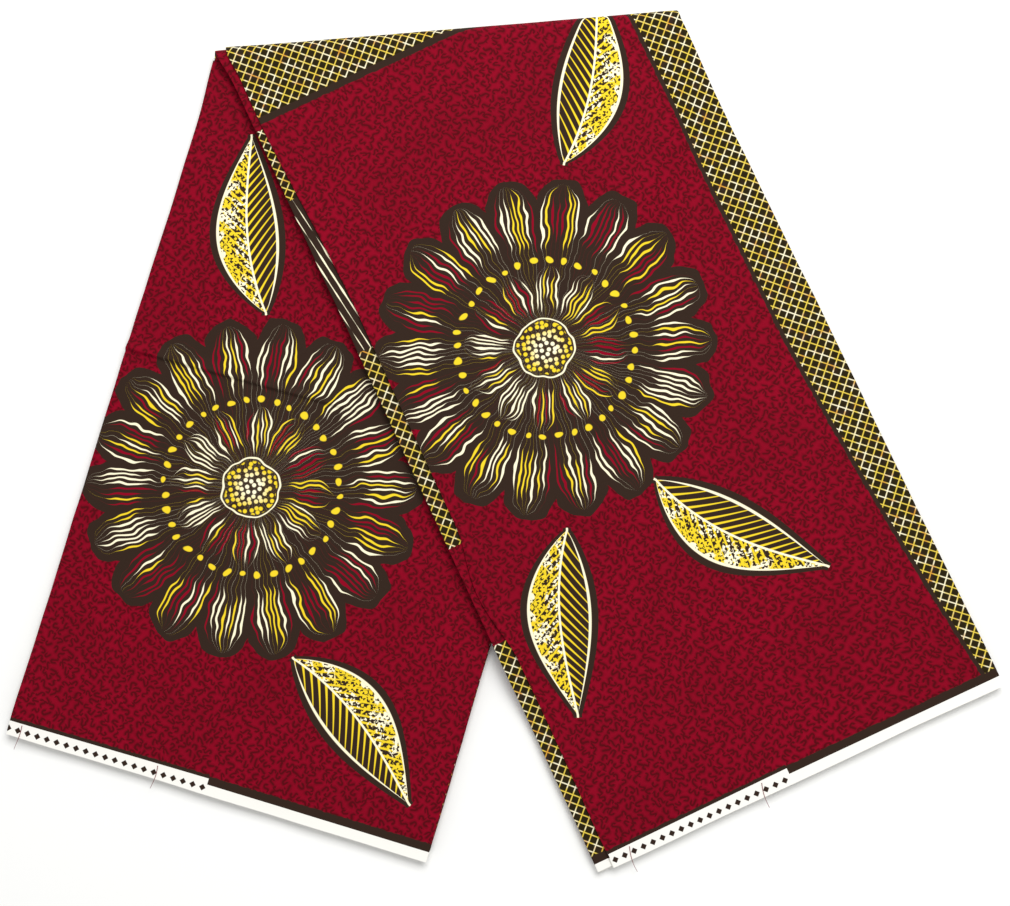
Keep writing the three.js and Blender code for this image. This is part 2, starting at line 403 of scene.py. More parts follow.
def petal_ring(tree, radius, turn, low, high, count, stripes):
    """A ring of petals with fine lines. Returns the mask of the lines and their colour."""
    t = soft_step(tree, radius, low, high)
    phase = calc(tree, "MULTIPLY", turn, float(count))
    number = calc(tree, "FLOOR", phase)
    across = off_middle(tree, phase)
    side = calc(tree, "SIGN", across)
    across = calc(tree, "ABSOLUTE", across)
    tip = calc(tree, "POWER", t, TIP_ROUNDNESS)
    tip = calc(tree, "SQRT", calc(tree, "SUBTRACT", 1.0, tip))
    half = calc(tree, "MULTIPLY_ADD", tip, PETAL_HALF, 0.0001)
    share = calc(tree, "DIVIDE", across, half)
    stripe = calc(tree, "MULTIPLY", share, float(stripes))
    order = calc(tree, "FLOOR", stripe)
    sided = calc(tree, "MULTIPLY", order, side)
    key = add(tree, "CombineXYZ", [number, sided, side])
    luck = add(tree, "SeparateColor", [add(tree, "TexWhiteNoise", {"Vector": key}, "Color")]).node.outputs
    within = calc(tree, "ABSOLUTE", off_middle(tree, stripe))
    begins = calc(tree, "MULTIPLY", luck[0], STROKE_STARTS_BY)
    ends = calc(tree, "MULTIPLY_ADD", luck[1], -STROKE_ENDS_EARLY, 1.0)
    grows = soft_step(tree, t, begins, calc(tree, "ADD", begins, STROKE_SWELLS))
    thins = soft_step(tree, t, ends, calc(tree, "ADD", ends, -STROKE_THINS))
    width = calc(tree, "MULTIPLY", calc(tree, "MULTIPLY", grows, thins), STROKE_HALF)
    drawn = calc(tree, "SUBTRACT", width, within)
    drawn = soft_step(tree, drawn, -STROKE_SOFT, STROKE_SOFT)
    drawn = calc(tree, "MULTIPLY", drawn, calc(tree, "LESS_THAN", share, 1.0))
    colour = mix(tree, calc(tree, "GREATER_THAN", luck[2], YELLOW_FROM), CREAM, YELLOW)
    return drawn, mix(tree, calc(tree, "GREATER_THAN", luck[2], RED_FROM), colour, RED)


# %% Round flower
SEED_HEAD = 19.0
SHORT_PETALS = (23.0, 60.0, 12, 3)
DOT_RING = 64.5
DOTS = 36
LONG_PETALS = (69.0, 121.0, 18, 4)
FLOWER_EDGE = 4.0
NOTCH_DEPTH = 16.0
FLOWER_WOBBLE = (0.06, 1.0, 7.0)
# Each pair is where an ink has just ended and where it is full
DOT_EDGE = (2.6, 2.0)
SEED_EDGE = (0.42, 0.3)
HEAD_EDGE = (SEED_HEAD + 0.4, SEED_HEAD - 0.4)
HEAD_LINE = (0.8, 0.4)
SEED_YELLOW = (6.0, 15.0)
flower, spot = start_group("round flower", {"Color": "Color", "Shape": "Float"})
axes = add(flower, "SeparateXYZ", [wobble(flower, spot, *FLOWER_WOBBLE)]).node.outputs
flat_place = add(flower, "CombineXYZ", [axes[0], axes[1], 0.0])
radius = add(flower, "VectorMath", [flat_place], "Value", operation="LENGTH")
turn = calc(flower, "ARCTAN2", axes[1], axes[0])
turn = calc(flower, "MULTIPLY_ADD", turn, 1 / (2 * math.pi), 0.5)
colour = BROWN
for ring in (SHORT_PETALS, LONG_PETALS):
    drawn, ink = petal_ring(flower, radius, turn, *ring)
    colour = mix(flower, drawn, colour, ink)
phase = off_middle(flower, calc(flower, "MULTIPLY", turn, float(DOTS)))
beside = calc(flower, "MULTIPLY", phase, 2 * math.pi * DOT_RING / DOTS)
beyond = calc(flower, "SUBTRACT", radius, DOT_RING)
dot = add(flower, "CombineXYZ", [beside, beyond, 0.0])
dot = add(flower, "VectorMath", [dot], "Value", operation="LENGTH")
colour = mix(flower, soft_step(flower, dot, *DOT_EDGE), colour, YELLOW)
seeds = {"Vector": spot, "Scale": 0.24, "Randomness": 0.55}
seed = add(flower, "TexVoronoi", seeds, "Distance", voronoi_dimensions="2D")
seed = soft_step(flower, seed, *SEED_EDGE)
head = soft_step(flower, radius, *HEAD_EDGE)
seed_colour = mix(flower, soft_step(flower, radius, *SEED_YELLOW), CREAM, YELLOW)
colour = mix(flower, calc(flower, "MULTIPLY", seed, head), colour, seed_colour)
ring_off = calc(flower, "SUBTRACT", radius, SEED_HEAD + 2.0)
ring_off = calc(flower, "ABSOLUTE", ring_off)
colour = mix(flower, soft_step(flower, ring_off, *HEAD_LINE), colour, CREAM)
edge = off_middle(flower, calc(flower, "MULTIPLY", turn, float(LONG_PETALS[2])))
edge = calc(flower, "ABSOLUTE", calc(flower, "MULTIPLY", edge, 2.0))
edge = calc(flower, "POWER", edge, 3.0)
edge = calc(flower, "MULTIPLY_ADD", edge, -NOTCH_DEPTH, LONG_PETALS[1] + FLOWER_EDGE)
end_group(flower, {"Color": colour, "Shape": calc(flower, "LESS_THAN", radius, edge)})

# %% [markdown]
# ## A veined leaf
# Long leaves fill the ground beside the flower. A leaf is a lens: its half width is a sine from its
# base to its tip. Lines that lean back from the midrib are the veins, and the other half of the leaf
# is speckled yellow and cream, as where resin has cracked before the dye bath.

# %% Veined leaf
LEAF_LENGTH = 132.0
LEAF_HALF = 25.0
LEAF_BEND = 9.0
FULLNESS = 0.85
VEIN_LEAN = 1.15
VEIN_PITCH = 3.6
VEIN_HALF = 1.35
INSIDE = 0.84
RIM_AT = 0.88
OUTLINE = 3.0
PAST_TIPS = 2.0
VEIN_EDGE = (-0.2, 0.3)
SPECK_EDGE = (0.43, 0.4)
LEAF_YELLOW = (0.47, 0.53)
RIM_EDGE = (0.05, 0.03)
RIB_EDGE = (0.9, 0.6)
leaf, spot = start_group("veined leaf", {"Color": "Color", "Shape": "Float"})
axes = add(leaf, "SeparateXYZ", [spot]).node.outputs
t = add(leaf, "Math", [axes[0], LEAF_LENGTH], operation="DIVIDE", use_clamp=True)
lens = calc(leaf, "POWER", t, FULLNESS)
lens = calc(leaf, "SINE", calc(leaf, "MULTIPLY", lens, math.pi))
half = calc(leaf, "MULTIPLY_ADD", lens, LEAF_HALF, 0.01)
bend = calc(leaf, "MULTIPLY", lens, -LEAF_BEND)
bent = calc(leaf, "ADD", axes[1], bend)
beside = calc(leaf, "ABSOLUTE", bent)
share = calc(leaf, "DIVIDE", beside, half)
lean = calc(leaf, "MULTIPLY_ADD", beside, -VEIN_LEAN, axes[0])
vein = calc(leaf, "PINGPONG", lean, VEIN_PITCH)
vein_width = calc(leaf, "MULTIPLY_ADD", share, -1.0, VEIN_HALF)
vein = soft_step(leaf, calc(leaf, "SUBTRACT", vein_width, vein), *VEIN_EDGE)
inner = calc(leaf, "LESS_THAN", share, INSIDE)
colour = mix(leaf, calc(leaf, "MULTIPLY", vein, inner), BROWN, YELLOW)
speck = flat_noise(leaf, spot, 0.42, 2.0)
speck = calc(leaf, "MULTIPLY_ADD", share, -0.16, speck)
speck = soft_step(leaf, speck, *SPECK_EDGE)
pale_side = calc(leaf, "GREATER_THAN", bent, 0.0)
pale = calc(leaf, "MULTIPLY", speck, inner)
pale = calc(leaf, "MULTIPLY", pale, pale_side)
patch = soft_step(leaf, flat_noise(leaf, spot, 0.07, 1.0), *LEAF_YELLOW)
colour = mix(leaf, pale, colour, mix(leaf, patch, CREAM, YELLOW))
rim = calc(leaf, "ABSOLUTE", calc(leaf, "SUBTRACT", share, RIM_AT))
rim = soft_step(leaf, rim, *RIM_EDGE)
rib = soft_step(leaf, beside, *RIB_EDGE)
colour = mix(leaf, calc(leaf, "MAXIMUM", rim, rib), colour, CREAM)
covered = calc(leaf, "LESS_THAN", beside, calc(leaf, "ADD", half, OUTLINE))
begun = calc(leaf, "GREATER_THAN", axes[0], -PAST_TIPS)
ended = calc(leaf, "LESS_THAN", axes[0], LEAF_LENGTH + PAST_TIPS)
covered = calc(leaf, "MULTIPLY", covered, begun)
covered = calc(leaf, "MULTIPLY", covered, ended)
end_group(leaf, {"Color": colour, "Shape": covered})

# %% [markdown]
# ## The printed cotton
# The material lays the drawings over each other in the order of the real print: red ground, hooks,
# nets, leaves, flower, the dark line before the selvedge, and the bare white selvedge itself. It
# reads the cloth's own coordinates from a UV map: millimetres across the strip and along it. A motif
# that comes several times is still worked out once: each place that may hold one has a window, and
# the window hands over its own origin and turn. Wax print is a smooth plain weave, pressed flat, so
# it is matt and hardly shines. Its threads are about 0.35 mm apart, too fine to show here, so the
# bump draws them at twice that.

# %% Sizes of the print
SIDE_LINE = 284.6
SIDE_NODES = 4.5
SIDE_CUT = 3.1
SIDE_RUNS = (20.0, 620.0)
MIDDLE_LINE = 6.5
MIDDLE_NODES = 5.6
MIDDLE_CUT = 5.2
MIDDLE_END = -84.0
BLEED = 1.5
HEM_LINE = 4.5
HEM_BAND_OUT = 1.5
LINE_OVER_BOX = 3.8
BOX_DEEPER = 1.1
BOX_TILT = 0.012
BOX = {"front": (13.0, 154.0), "back": (-20.0, 152.0)}
MARK_PITCH = 7.4
MARK_FIRST = 16.0
MARK_MIDDLE = -4.3
MARK_EDGE = (2.6, 2.3)
DYE_EDGE = 0.3
CLOUDED = 0.3
HALO_SHARE = 0.8
HOOK_SHARE = 0.85
STROKE_LEAN = 0.14
STROKE_PITCH = 2.6
STROKE_EDGE = (-0.6, -0.85)
THREAD_PITCH = 0.7
SHINE = {"Specular IOR Level": 0.08, "Sheen Weight": 0.05, "Sheen Roughness": 0.4}
SHINE["Sheen Tint"] = linear("#c08a86")

# Where the motifs lie: the window they may fill, across and along, their middle or stem, their turn
FLOWERS = [
    ((-20, 340), (-40, 650), (126.0, 246.0, 0.0), 0.2),
    ((-20, 340), (-650, -40), (120.0, -364.0, 0.0), 0.45),
]
LEAVES = [
    ((118, 340), (250, 650), (158.0, 366.0, 0.0), 0.95),
    ((-20, 118), (250, 650), (84.0, 372.0, 0.0), 1.95),
    ((-20, 340), (-100, 250), (196.0, 128.0, 0.0), -0.95),
    ((-20, 340), (-360, -100), (92.0, -238.0, 0.0), 1.95),
    ((-20, 340), (-650, -360), (186.0, -474.0, 0.0), -0.6),
]

# The stretches of print along the sliver of the second layer, from the back hem to the front one
STRETCHES = [
    (-600, "net"), (-478, "red"), (-332, "dark"), (-234, "red"), (-88, "net"), (-66, "red"), (7, "net"),
    (66, "dark"), (190, "net"), (344, "red"), (424, "net"),
]
STRETCHES_END = 620
print("windows for motifs:", len(FLOWERS) + len(LEAVES))


# %% Steps of the print


def placed(tree, axes, spot, windows):
    """The place in a motif's own coordinates, with the origin and turn of the window it falls in."""
    origin, turn = (0.0, 0.0, 0.0), 0.0
    for across, along, its_origin, its_turn in windows:
        here = calc(tree, "MULTIPLY", between(tree, axes[0], *across), between(tree, axes[1], *along))
        here_origin = add(tree, "VectorMath", {0: its_origin, "Scale": here}, operation="SCALE")
        origin = add(tree, "VectorMath", [origin, here_origin], operation="ADD")
        turn = calc(tree, "MULTIPLY_ADD", here, -its_turn, turn)
    local = add(tree, "VectorMath", [spot, origin], operation="SUBTRACT")
    return add(tree, "VectorRotate", {"Vector": local, "Angle": turn}, rotation_type="Z_AXIS")


def red_ground(tree, spot):
    """The red ground with its hooks."""
    ground = add(tree, "Group", [spot], node_tree=hooks).node.outputs
    cloud = flat_noise(tree, spot, 0.02, 2.0)
    cloud = add(tree, "MapRange", {"Value": cloud, "From Min": 0.3, "From Max": 0.7, "To Max": CLOUDED})
    colour = mix(tree, cloud, RED, DEEP_RED)
    colour = mix(tree, calc(tree, "MULTIPLY", ground["Halo"], HALO_SHARE), colour, DEEP_RED)
    return mix(tree, calc(tree, "MULTIPLY", ground["Hook"], HOOK_SHARE), colour, MAROON)


def bled(tree, spot, distance):
    """A distance to a dyed edge that has bled a little, so that the edge runs unevenly."""
    uneven = calc(tree, "MULTIPLY_ADD", flat_noise(tree, spot, 0.24, 1.0), BLEED, -BLEED / 2)
    return calc(tree, "ADD", distance, uneven)


def net_bands(tree, axes, spot, colour):
    """The net along the front leg's right side, and the one that crosses the strip at the fold."""
    beside = calc(tree, "ADD", axes[0], -SIDE_LINE)
    beyond = calc(tree, "SUBTRACT", MIDDLE_LINE, axes[1])
    in_side = between(tree, axes[1], *SIDE_RUNS)
    in_middle = calc(tree, "GREATER_THAN", axes[1], MIDDLE_END)
    side_place = add(tree, "CombineXYZ", [calc(tree, "ADD", beside, -SIDE_NODES), axes[1], 0.0])
    middle_place = add(tree, "CombineXYZ", [axes[0], calc(tree, "ADD", beyond, -MIDDLE_NODES), 0.0])
    is_middle = calc(tree, "GREATER_THAN", beyond, 0.0)
    place_in_net = add(tree, "Mix", {0: is_middle, 4: side_place, 5: middle_place}, 1, data_type="VECTOR")
    drawn = add(tree, "Group", [place_in_net], node_tree=net)
    for distance, where, cut in ((beside, in_side, SIDE_CUT), (beyond, in_middle, MIDDLE_CUT)):
        margin = soft_step(tree, bled(tree, spot, distance), -DYE_EDGE, DYE_EDGE)
        colour = mix(tree, calc(tree, "MULTIPLY", margin, where), colour, BROWN)
        netted = calc(tree, "GREATER_THAN", distance, cut)
        colour = mix(tree, calc(tree, "MULTIPLY", netted, where), colour, drawn)
    return colour


def motifs(tree, axes, spot, colour):
    """Leaves, with a flower over them."""
    for drawing, windows in ((leaf, LEAVES), (flower, FLOWERS)):
        drawn = add(tree, "Group", [placed(tree, axes, spot, windows)], node_tree=drawing).node.outputs
        colour = mix(tree, drawn["Shape"], colour, drawn["Color"])
    return colour


def sliver_print(tree, axes, spot, colour):
    """The print of an inner fold, which changes along the strip: red, net, or dark with pale strokes."""
    along = soft_step(tree, axes[1], float(STRETCHES[0][0]), float(STRETCHES_END))
    ramp = add(tree, "ValToRGB", [along]).node
    ramp.color_ramp.interpolation = "CONSTANT"
    kinds = {"red": (0, 0, 0, 1), "net": (1, 0, 0, 1), "dark": (0, 1, 0, 1)}
    length = STRETCHES_END - STRETCHES[0][0]
    for _ in STRETCHES[2:]:
        ramp.color_ramp.elements.new(0.5)
    for element, (start, kind) in zip(ramp.color_ramp.elements, STRETCHES):
        element.position = (start - STRETCHES[0][0]) / length
        element.color = kinds[kind]
    parts = add(tree, "SeparateColor", [ramp.outputs["Color"]]).node.outputs
    drawn = add(tree, "Group", [spot], node_tree=net)
    lean = calc(tree, "MULTIPLY_ADD", axes[1], -STROKE_LEAN, axes[0])
    stroke = calc(tree, "PINGPONG", lean, STROKE_PITCH)
    stroke = calc(tree, "MULTIPLY_ADD", flat_noise(tree, spot, 0.05, 1.0), -2.0, stroke)
    stroke = soft_step(tree, stroke, *STROKE_EDGE)
    dark = mix(tree, stroke, BROWN, CREAM)
    colour = mix(tree, parts[0], colour, drawn)
    return mix(tree, parts[1], colour, dark)


def hems(tree, axes, spot, colour):
    """The dark line before each hem, the bare selvedge past it, and plain marks in its white box."""
    to_front = calc(tree, "SUBTRACT", 1000 * FRONT_PRINTED, axes[1])
    to_back = calc(tree, "ADD", axes[1], 1000 * BACK_PRINTED)
    to_hem = calc(tree, "MINIMUM", to_front, to_back)
    in_boxes = []
    for side, nearer in (("front", [axes[1], 0.0]), ("back", [0.0, axes[1]])):
        here = calc(tree, "GREATER_THAN", *nearer)
        in_boxes.append(calc(tree, "MULTIPLY", between(tree, axes[0], *BOX[side]), here))
    in_box = calc(tree, "ADD", *in_boxes)
    tilt = calc(tree, "MULTIPLY", axes[0], BOX_TILT)
    line_from = calc(tree, "ADD", tilt, LINE_OVER_BOX - HEM_LINE)
    line_from = calc(tree, "MULTIPLY_ADD", in_box, line_from, HEM_LINE)
    line = calc(tree, "SUBTRACT", bled(tree, spot, to_hem), line_from)
    colour = mix(tree, soft_step(tree, line, DYE_EDGE, -DYE_EDGE), colour, BROWN)
    bare_from = calc(tree, "ADD", tilt, BOX_DEEPER + HEM_BAND_OUT)
    bare_from = calc(tree, "MULTIPLY_ADD", in_box, bare_from, -HEM_BAND_OUT)
    colour = mix(tree, calc(tree, "LESS_THAN", to_hem, bare_from), colour, BARE_COTTON)
    along_box = calc(tree, "PINGPONG", calc(tree, "ADD", axes[0], -MARK_FIRST), MARK_PITCH / 2)
    from_middle = calc(tree, "ABSOLUTE", calc(tree, "ADD", to_hem, -MARK_MIDDLE))
    lozenge = soft_step(tree, calc(tree, "ADD", along_box, from_middle), *MARK_EDGE)
    return mix(tree, calc(tree, "MULTIPLY", lozenge, in_box), colour, BROWN)


# %% Printed cotton


def printed_cotton(name, bands, sliver):
    """Wax printed cotton. bands draws the two nets of the face, sliver the print of the inner folds."""
    material = bpy.data.materials.new(name)
    material.use_nodes = True
    tree = material.node_tree
    tree.nodes.clear()
    uv = add(tree, "UVMap", [], uv_map="cloth")
    spot = add(tree, "VectorMath", {0: uv, "Scale": 1000.0}, operation="SCALE")
    axes = add(tree, "SeparateXYZ", [spot]).node.outputs
    colour = red_ground(tree, spot)
    if bands:
        colour = net_bands(tree, axes, spot, colour)
    colour = sliver_print(tree, axes, spot, colour) if sliver else motifs(tree, axes, spot, colour)
    colour = hems(tree, axes, spot, colour)

    weave = add(tree, "VectorMath", {0: spot, "Scale": 2 * math.pi / THREAD_PITCH}, operation="SCALE")
    weave = add(tree, "VectorMath", [weave], operation="SINE")
    threads = add(tree, "SeparateXYZ", [weave]).node.outputs
    threads = calc(tree, "MULTIPLY", threads[0], threads[1])
    slub = flat_noise(tree, spot, 0.5, 1.0)
    height = calc(tree, "MULTIPLY_ADD", threads, 0.35, slub)
    bump = add(tree, "Bump", {"Height": height, "Strength": 0.15, "Distance": 0.0004}, "Normal")
    rough = add(tree, "MapRange", {"Value": slub, "To Min": 0.72, "To Max": 0.86})
    cloth = add(tree, "BsdfPrincipled", {"Base Color": colour, "Roughness": rough, "Normal": bump, **SHINE})
    add(tree, "OutputMaterial", {"Surface": cloth})
    print(f"{name}: {len(tree.nodes)} nodes")
    return material


face_cotton = printed_cotton("wax printed cotton, face with borders", True, False)
inner_cotton = printed_cotton("wax printed cotton, inner face", False, False)
fold_cotton = printed_cotton("wax printed cotton, folded edges", False, True)

# %% [markdown]
# ## One folded layer
# Each layer that shows is a thin slab with rounded folds at its sides. A ruler and scissors would
# start from a flat rectangle, and so does this: a grid whose columns run round the slab and whose
# rows run along the strip, from the back hem round the cross fold to the front hem. Its first and
# last column meet and are merged, its open ends are filled, and every vertex is then laid where the
# folded strip has it. The grid keeps its own coordinates as the UV map that the print reads.

# %% Rows along the strip
NOSE_STEPS = 5
CREASE_ZONE = 0.014
HEM_PRESSED = 0.018


def steps_between(first, last, count):
    """Sections spread evenly from one to the next, without the first. A section is its place along
    the strip at the left edge and at the right edge."""
    shares = [k / count for k in range(1, count + 1)]
    return [tuple(a + (b - a) * share for a, b in zip(first, last)) for share in shares]


def along_fold(past):
    """The section that lies parallel to the cross fold, past its middle by a distance."""
    return tuple((past + side * STRIP_WIDTH / 2 * SIN) / COS for side in (-1, 1))


crease_at = CREASE_FROM_HEM - BACK_PRINTED
# Sections where the spacing changes, each with the steps that lead up to it
stretches = [
    ((HEM_PRESSED - BACK_REACH,) * 2, 6), ((crease_at - CREASE_ZONE,) * 2, 32),
    ((crease_at + CREASE_ZONE,) * 2, 34), (along_fold(-HALF_BEND), 28), (along_fold(HALF_BEND), 14),
    ((FRONT_REACH - HEM_PRESSED,) * 2, 88), ((FRONT_REACH,) * 2, 6),
]
rows = [(-BACK_REACH, -BACK_REACH)]
for section, steps in stretches:
    rows += steps_between(rows[-1], section, steps)
print("rows along the strip:", len(rows))

# %% Build a folded layer
EDGE_WANDER = 0.0005
EDGE_RIPPLE = 0.0003
HEM_UNEVEN = 0.0005
HEM_WAVE = 0.07
HEM_THINNER = 0.1
CLOSE_SHARE = 0.085
SIDE_SWELLS = 0.022
SIDE_FULLER = 0.09
CALM_AT_FOLD = 0.06
COVER_FADES = 0.025
SKEW_FROM_HEM = 0.300
SKEW_AT_HEM = 0.0235
SKEW_STOPS = 0.03
GIVEN_BACK = 1.2
CORNER = -0.060
CORNER_BEFORE = 0.055
CORNER_PAST = 0.03
CORNER_SPREAD = 0.003
MERGE = 1e-7


def skew(u, along):
    """How far the print has slid to the right where the fold runs off the thread near the hem."""
    share = (along - (FRONT_PRINTED - SKEW_FROM_HEM)) / SKEW_FROM_HEM
    if share <= 0:
        return 0.0
    held = falling((u - STRIP_WIDTH / 2) / (STRIP_WIDTH / 2 - SKEW_STOPS))
    return SKEW_AT_HEM * share ** 1.5 * (1 - held)


def to_print(u, along, out):
    """The place in the print for a place of the strip. Cloth on the outer side of the pile has a longer
    way round the cross fold, and takes up what it is ahead by the time it reaches the back hem."""
    past = along * COS - (u - STRIP_WIDTH / 2) * SIN
    gone_round = min(max(HALF_BEND - past, 0.0), 2 * HALF_BEND)
    left_over = min(1.0, GIVEN_BACK * (1 + along / BACK_REACH))
    ahead = gone_round * left_over * max(out, 0.0) / MID_RADIUS
    return u - skew(u, along) + ahead * SIN, along - ahead * COS


def spread(along):
    """How far the folds on the left swell out round the corner of the cross fold."""
    from_corner = along - CORNER
    return CORNER_SPREAD * falling(max(-from_corner / CORNER_BEFORE, from_corner / CORNER_PAST))


def shares_across(close, wide):
    """Columns across the strip, as shares of its width: close together beside the left fold, where
    the face is pleated, and wide on the rest."""
    near = [CLOSE_SHARE * k / close for k in range(1, close)]
    return near + [CLOSE_SHARE + (1 - CLOSE_SHARE) * k / wide for k in range(wide)]


def ring_of(shares, wall):
    """Points round a slab's section: (side, share, inset, height). A face point has its share of the
    way across, and a fold point its inset from the fold's tip. Heights are from the slab's middle."""
    radius = wall / 2
    turns = [math.pi * (k / NOSE_STEPS - 0.5) for k in range(NOSE_STEPS + 1)]
    ring = [("right", 0, radius * (1 - math.cos(a)), radius * math.sin(a)) for a in turns]
    ring += [("face", share, 0, radius) for share in reversed(shares)]
    ring += [("left", 0, radius * (1 - math.cos(a)), -radius * math.sin(a)) for a in turns]
    ring += [("face", share, 0, -radius) for share in shares]
    return ring


def wander(along, seed):
    """How far a fold strays inwards from its line: slowly, with a small quick ripple on top."""
    slow = noise.noise(Vector((along / 0.11, seed, 0.0))) + 1
    quick = noise.noise(Vector((along / 0.028, seed, 6.0))) + 1
    return EDGE_WANDER * slow + EDGE_RIPPLE * quick


def pressed(u, along, out):
    """Height of a place in the pile, which lies thinner at its hems, and along the folds at its sides
    swells and sinks a little. The side of the leg that is down stays where it is."""
    down = -LEG_THICKNESS / 2 if along > 0 else LEG_THICKNESS / 2
    to_hem = min(FRONT_REACH - along, along + BACK_REACH)
    wave = noise.noise(Vector((u / 0.045, 3.0, math.copysign(5.0, along))))
    at_hem = falling(to_hem / HEM_PRESSED) * (1 + 0.7 * wave)
    to_side = min(u, STRIP_WIDTH - u)
    wave = noise.noise(Vector((along / 0.05, math.copysign(2.0, u - STRIP_WIDTH / 2), 1.0)))
    at_side = falling(to_side / SIDE_SWELLS) * wave * (1 - falling(abs(along) / CALM_AT_FOLD))
    if along < 0:
        at_side *= 1 - falling(beside_front_leg(u, along) / COVER_FADES)
    return down + (out - down) * (1 - HEM_THINNER * at_hem + SIDE_FULLER * at_side)


def short_by(amount, u, seed, end):
    """How far a layer stops short of the hem, a little unevenly."""
    return amount + HEM_UNEVEN * noise.noise(Vector((u / HEM_WAVE, seed, end)))


def fold_layer(bm, depth, wall, left, right, short, shares, seed, relief=None, reads=None):
    """Adds one layer of the strip to a bmesh. left gives its inset at the left side for a place along
    the strip, and right is its inset at the right side. short says how much it lacks at the back and
    front hem, relief gives its soft swellings outwards, and reads the place along the print."""
    ring = ring_of(shares, wall)
    middle = LEG_THICKNESS / 2 - depth - wall / 2
    count = len(ring)
    made = bmesh.ops.create_grid(bm, x_segments=count, y_segments=len(rows) - 1, size=1.0)["verts"]
    cloth_map = bm.loops.layers.uv["cloth"]
    where = {}
    for vert in made:
        side, share, inset, height = ring[round((vert.co.x + 1) / 2 * count) % count]
        row = rows[round((vert.co.y + 1) / 2 * (len(rows) - 1))]
        roam = [wander(row[k], seed * 7.3 + k * 3.1) for k in (0, 1)]
        fold_left = left(row[0]) + roam[0] - spread(row[0])
        fold_right = STRIP_WIDTH - right - roam[1]
        if side == "right":
            u = fold_right - inset
        elif side == "left":
            u = fold_left + inset
        else:
            u = fold_left + wall / 2 + share * (fold_right - fold_left - wall)
        along = row[0] + (row[1] - row[0]) * u / STRIP_WIDTH
        if row is rows[0]:
            along += short_by(short[0], u, seed, 4.0)
        if row is rows[-1]:
            along -= short_by(short[1], u, seed, 9.0)
        out = pressed(u, along, middle + height) + (relief(u, along) if relief else 0.0)
        vert.co = place(u, along, out)
        across, along = to_print(u, along, out)
        where[vert] = (across, reads(along) if reads else along)
    for face in {face for vert in made for face in vert.link_faces}:
        face.smooth = True
        for loop in face.loops:
            loop[cloth_map].uv = where[loop.vert]
    bmesh.ops.remove_doubles(bm, verts=made, dist=MERGE)


def finish_layers(bm, name, material, *nodes):
    """Closes the layers' ends, makes the object and lets it stand for its nodes."""
    open_edges = [edge for edge in bm.edges if edge.is_boundary]
    caps = bmesh.ops.holes_fill(bm, edges=open_edges)["faces"]
    cloth_map = bm.loops.layers.uv["cloth"]
    for cap in caps:
        cap.smooth = False
        for loop in cap.loops:
            beside = next(other for other in loop.vert.link_loops if other.face not in caps)
            loop[cloth_map].uv = beside[cloth_map].uv
        for edge in cap.edges:
            edge.smooth = False
    bmesh.ops.triangulate(bm, faces=caps)
    bmesh.ops.recalc_face_normals(bm, faces=bm.faces)
    mesh = bpy.data.meshes.new(name)
    bm.to_mesh(mesh)
    bm.free()
    mesh.materials.append(material)
    piece = bpy.data.objects.new(name, mesh)
    bpy.context.scene.collection.objects.link(piece)
    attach(piece, "root")
    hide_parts(*nodes)
    print(name, "has", len(mesh.polygons), "faces")
    return piece


# %% [markdown]
# ## Soft creases
# A stack of cotton never lies dead flat. Its faces swell by a few tenths of a millimetre, more near
# the folds, and a crease from an older folding runs right across the back leg. These are written as
# small heights over the strip, so the print stays undistorted on them. They fade out where the legs
# lie on each other, because there the weight of the upper leg presses the lower one flat.

# %% Soft creases
SLOW_SWELL = 0.0004
QUICK_SWELL = 0.00012
EDGE_SWELL = 0.0003
FULLEST_AT = 0.012
CREASE_HEIGHT = 0.0025
CREASE_SLANT = 0.006
CREASE_LONG_SIDE = 0.005
CREASE_STEEP_SIDE = 0.0014
CREASE_FADES = (0.10, 0.16)


def near_line(u, along, first, last, width):
    """A soft ridge of height 1 along a short line, fading to its ends."""
    line = Vector(last) - Vector(first)
    here = Vector((u, along)) - Vector(first)
    share = here.dot(line) / line.length_squared
    if not -0.2 < share < 1.2:
        return 0.0
    off = abs(here.cross(line)) / line.length
    return math.exp(-(off / width) ** 2) * falling(abs(share - 0.5) * 2 / 1.4)


def swell(u, along, seed):
    """The slow rise and fall of a pressed stack, a little fuller beside its folds."""
    slow = noise.noise(Vector((u / 0.085, along / 0.12, seed))) + 1
    quick = noise.noise(Vector((u / 0.03, along / 0.05, seed + 5))) + 1
    edge = min(u, STRIP_WIDTH - u)
    full = math.exp(-((edge - FULLEST_AT) / FULLEST_AT) ** 2)
    return SLOW_SWELL * slow + QUICK_SWELL * quick + EDGE_SWELL * full


# Each crease: its two ends, across and along the strip, its half width and its height
FRONT_CREASES = [
    ((0.191, 0.441), (0.110, 0.572), 0.008, 0.0013),
    ((0.236, 0.300), (0.262, 0.420), 0.012, 0.0006),
    ((0.030, 0.120), (0.060, 0.010), 0.012, 0.0006),
    ((0.250, 0.120), (0.200, 0.215), 0.014, 0.0005),
    ((0.0140, 0.346), (0.0085, 0.428), 0.0016, 0.0011),
    ((0.0195, 0.358), (0.0130, 0.446), 0.0017, 0.0009),
    ((0.0250, 0.386), (0.0200, 0.452), 0.0020, 0.0006),
]
BACK_CREASES = [
    ((0.210, -0.500), (0.180, -0.560), 0.009, 0.0009),
    ((0.040, -0.180), (0.070, -0.260), 0.012, 0.0006),
    ((0.120, -0.400), (0.150, -0.480), 0.012, 0.0005),
]


def face_relief(u, along):
    """Swelling of the outermost layer, on the front leg and the top of the fold."""
    if along * COS - (u - STRIP_WIDTH / 2) * SIN < 0:
        return 0.0
    rise = swell(u, along, 2.0)
    return rise + sum(high * near_line(u, along, a, b, wide) for a, b, wide, high in FRONT_CREASES)


